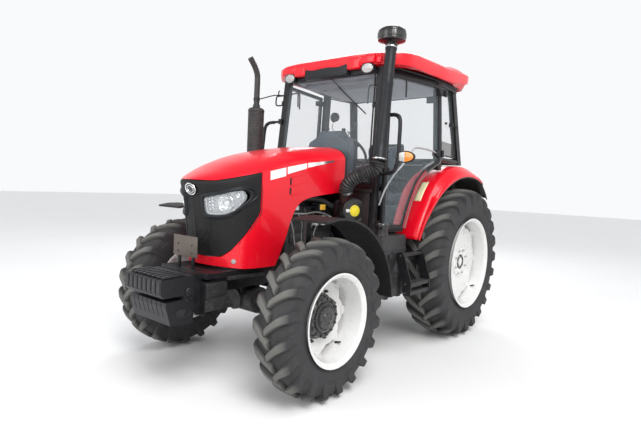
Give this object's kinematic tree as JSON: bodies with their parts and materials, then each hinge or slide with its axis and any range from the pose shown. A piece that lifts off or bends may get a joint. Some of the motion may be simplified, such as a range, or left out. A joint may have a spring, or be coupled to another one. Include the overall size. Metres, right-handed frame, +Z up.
{
  "type": "farm tractor",
  "caption": "Farm tractor with an enclosed cab, steered front wheels, tilting hood, hinged side doors, front ballast plates and a rear three-point linkage.",
  "frame": {"origin": "on the ground plane, at the middle of the overall length and width", "axes": "+X forward, +Y to the driver's left, +Z up"},
  "size_m": [4.38, 2.019, 2.9057],
  "materials": {
    "red_paint": "glossy bright red",
    "black_paint": "satin black",
    "black_steel": "heat-resistant matt black",
    "cast_black": "matt black over castings",
    "black_plastic": "moulded black plastic, fine grain",
    "black_rubber": "corrugated black rubber",
    "tyre_rubber": "charcoal tyre rubber",
    "white_paint": "gloss white",
    "clear_glass": "clear, slightly grey",
    "lamp_lens": "clear lamp lens",
    "seat_fabric": "slate grey-blue cloth",
    "grey_plastic": "slate grey",
    "maroon_paint": "dark maroon",
    "steel": "bright steel rod"
  },
  "bodies": {
    "chassis": {"engine_block": "cast_black", "transmission_housing": "cast_black", "front_frame": "cast_black", "front_axle_beam": "cast_black", "front_weights": "cast_black", "fuel_tank": "black_plastic", "battery_box": "black_plastic", "air_cleaner": "maroon_paint", "intake_hose": "black_rubber", "intake_stack": "black_plastic", "exhaust_stack": "black_steel", "cab_frame": "black_paint", "cab_floor": "black_paint", "cab_roof": "red_paint", "windshield": "clear_glass", "rear_window": "clear_glass", "quarter_window_left": "clear_glass", "quarter_window_right": "clear_glass", "rear_fender_left": "red_paint", "rear_fender_right": "red_paint", "step_left": "black_paint", "step_right": "black_paint", "dashboard": "grey_plastic", "seat_base": "black_plastic", "seat_cushion": "seat_fabric", "seat_back": "seat_fabric"},
    "hood": {"hood_shell": "red_paint", "grille": "black_plastic", "headlight_left": "lamp_lens", "headlight_right": "lamp_lens"},
    "door_left": {"left_door": "black_paint", "left_door_glass": "clear_glass"},
    "door_right": {"right_door": "black_paint", "right_door_glass": "clear_glass"},
    "knuckle_left": {"steering_knuckle_left": "cast_black", "front_fender_left": "black_plastic"},
    "knuckle_right": {"steering_knuckle_right": "cast_black", "front_fender_right": "black_plastic"},
    "front_wheel_left": {"front_tyre_left": "tyre_rubber", "front_rim_left": "white_paint"},
    "front_wheel_right": {"front_tyre_right": "tyre_rubber", "front_rim_right": "white_paint"},
    "rear_wheel_left": {"rear_tyre_left": "tyre_rubber", "rear_rim_left": "white_paint"},
    "rear_wheel_right": {"rear_tyre_right": "tyre_rubber", "rear_rim_right": "white_paint"},
    "steering_wheel": {"steering_wheel": "black_plastic"},
    "steering_rod": {"steering_rod": "steel"},
    "lower_link_left": {"lower_link_left": "cast_black"},
    "lower_link_right": {"lower_link_right": "cast_black"},
    "lift_arms": {"lift_arms": "cast_black"},
    "lift_rod_left": {"lift_rod_left": "cast_black"},
    "lift_rod_right": {"lift_rod_right": "cast_black"},
    "top_link": {"top_link": "cast_black"}
  },
  "joints": [
    {"name": "front_wheel_left_spin", "type": "hinge", "parent": "knuckle_left", "child": "front_wheel_left", "pos_m": [1.25, 0.848, 0.575], "axis": [0, 1, 0], "continuous": true},
    {"name": "front_wheel_right_spin", "type": "hinge", "parent": "knuckle_right", "child": "front_wheel_right", "pos_m": [1.25, -0.848, 0.575], "axis": [0, 1, 0], "continuous": true},
    {"name": "rear_wheel_left_spin", "type": "hinge", "parent": "chassis", "child": "rear_wheel_left", "pos_m": [-1, 0.797, 0.772], "axis": [0, 1, 0], "continuous": true},
    {"name": "rear_wheel_right_spin", "type": "hinge", "parent": "chassis", "child": "rear_wheel_right", "pos_m": [-1, -0.797, 0.772], "axis": [0, 1, 0], "continuous": true},
    {"name": "steer_left", "type": "hinge", "parent": "chassis", "child": "knuckle_left", "pos_m": [1.25, 0.66, 0.575], "axis": [0, 0, 1], "range_deg": [-35, 35]},
    {"name": "steer_right", "type": "hinge", "parent": "chassis", "child": "knuckle_right", "pos_m": [1.25, -0.66, 0.575], "axis": [0, 0, 1], "range_deg": [-35.5, 35.5]},
    {"name": "steering_rod_slide", "type": "slide", "parent": "chassis", "child": "steering_rod", "axis": [0, 1, 0], "range_m": [-0.11, 0.11]},
    {"name": "steering_wheel_turn", "type": "hinge", "parent": "chassis", "child": "steering_wheel", "pos_m": [-0.135, 0, 1.86], "axis": [-0.7659, 0, 0.6429], "range_deg": [-720, 720]},
    {"name": "hood_hinge", "type": "hinge", "parent": "chassis", "child": "hood", "pos_m": [0.42, 0, 1.8], "axis": [0, -1, 0], "range_deg": [0, 45]},
    {"name": "left_door_hinge", "type": "hinge", "parent": "chassis", "child": "door_left", "pos_m": [-0.605, 0.81, 1.8], "axis": [0, 0, 1], "range_deg": [0, 75]},
    {"name": "right_door_hinge", "type": "hinge", "parent": "chassis", "child": "door_right", "pos_m": [-0.605, -0.81, 1.8], "axis": [0, 0, -1], "range_deg": [0, 75]},
    {"name": "lower_link_left_lift", "type": "hinge", "parent": "chassis", "child": "lower_link_left", "pos_m": [-1.26, 0.25, 0.515], "axis": [0, 1, 0], "range_deg": [-8, 28]},
    {"name": "lower_link_right_lift", "type": "hinge", "parent": "chassis", "child": "lower_link_right", "pos_m": [-1.26, -0.25, 0.515], "axis": [0, 1, 0], "range_deg": [-8.5, 28.5]},
    {"name": "lift_arms_turn", "type": "hinge", "parent": "chassis", "child": "lift_arms", "pos_m": [-1.26, 0, 1.055], "axis": [0, 1, 0], "range_deg": [-8.5, 28.5]},
    {"name": "lift_rod_left_swing", "type": "hinge", "parent": "lift_arms", "child": "lift_rod_left", "pos_m": [-1.66, 0.318, 1.0264], "axis": [0, 1, 0], "range_deg": [-28.5, 8.5]},
    {"name": "lift_rod_right_swing", "type": "hinge", "parent": "lift_arms", "child": "lift_rod_right", "pos_m": [-1.66, -0.318, 1.0264], "axis": [0, 1, 0], "range_deg": [-28.5, 8.5]},
    {"name": "top_link_swing", "type": "hinge", "parent": "chassis", "child": "top_link", "pos_m": [-1.47, 0, 0.8], "axis": [0, -1, 0], "range_deg": [0, 95]}
  ],
  "couplings": [
    {"joint": "steer_right", "follows": "steer_left", "ratio": 1},
    {"joint": "steering_rod_slide", "follows": "steer_left", "m_per_rad": -0.16},
    {"joint": "steering_wheel_turn", "follows": "steer_left", "ratio": 20},
    {"joint": "lower_link_right_lift", "follows": "lower_link_left_lift", "ratio": 1},
    {"joint": "lift_arms_turn", "follows": "lower_link_left_lift", "ratio": 1},
    {"joint": "lift_rod_left_swing", "follows": "lower_link_left_lift", "ratio": -1},
    {"joint": "lift_rod_right_swing", "follows": "lower_link_left_lift", "ratio": -1}
  ]
}
